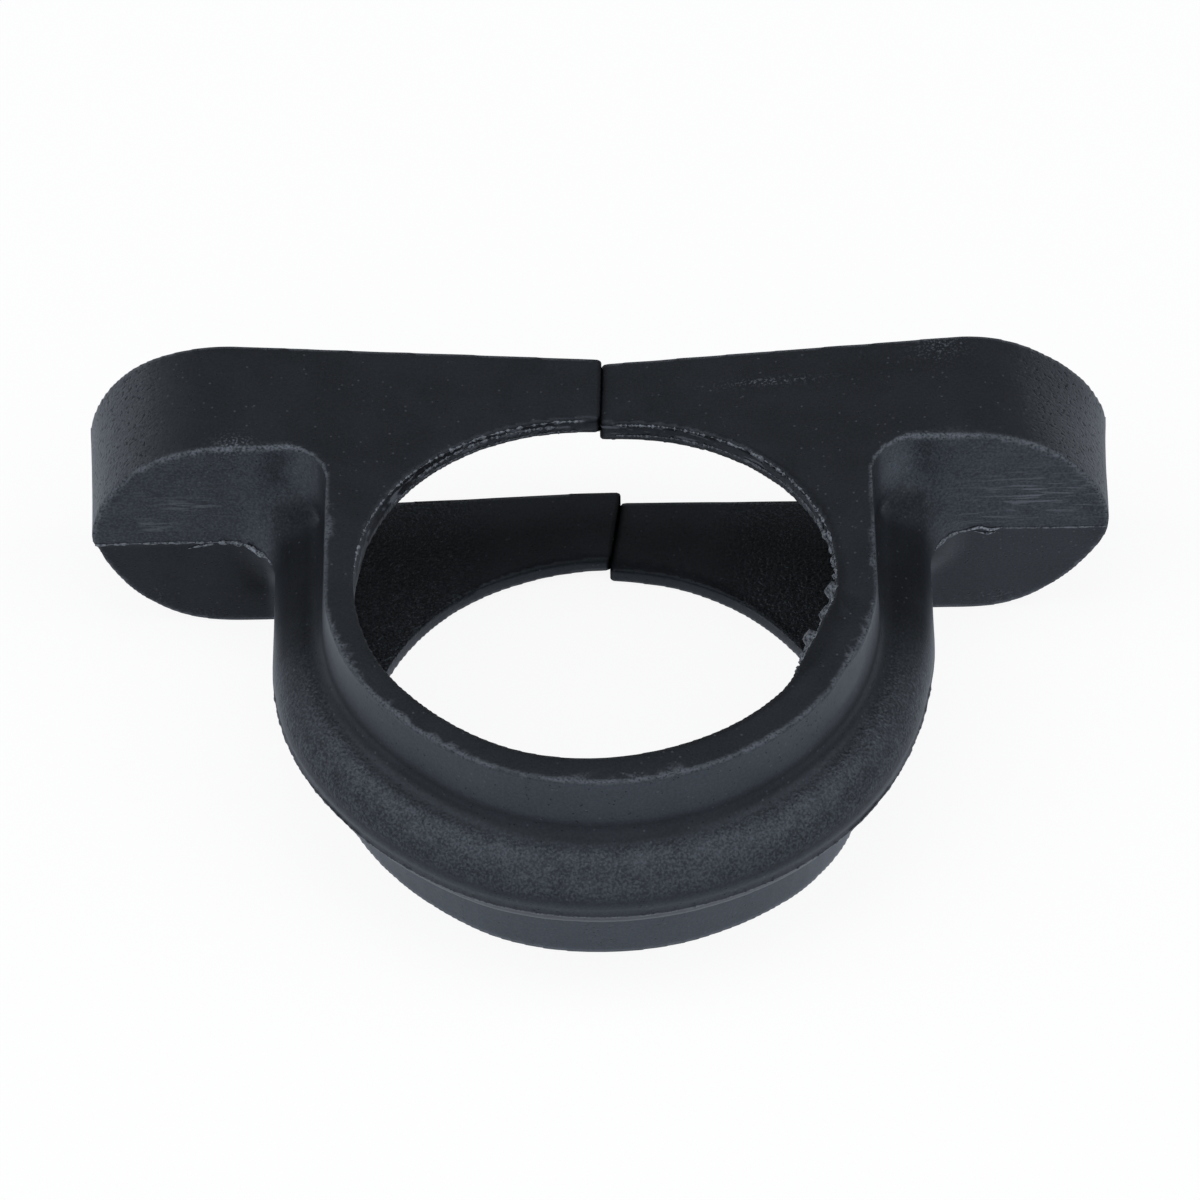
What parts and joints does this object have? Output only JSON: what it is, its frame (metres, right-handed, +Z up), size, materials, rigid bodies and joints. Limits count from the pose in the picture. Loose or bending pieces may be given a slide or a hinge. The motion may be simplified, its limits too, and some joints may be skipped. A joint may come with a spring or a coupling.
{
  "type": "pipe clip",
  "caption": "Eared pipe clip moulded as a hollow shell: beaded collar round a pipe opening, rounded ears, open back and plates split at the rear.",
  "frame": {"origin": "on the pipe's axis, level with the underside of the bottom plate", "axes": "+X along the wall, +Y from the pipe to the wall, +Z up along the pipe"},
  "size_m": [0.153, 0.0953, 0.037],
  "materials": {
    "clip_plastic": "matt moulded, dark anthracite"
  },
  "bodies": {
    "root": {"clip_body": "clip_plastic"}
  },
  "joints": []
}
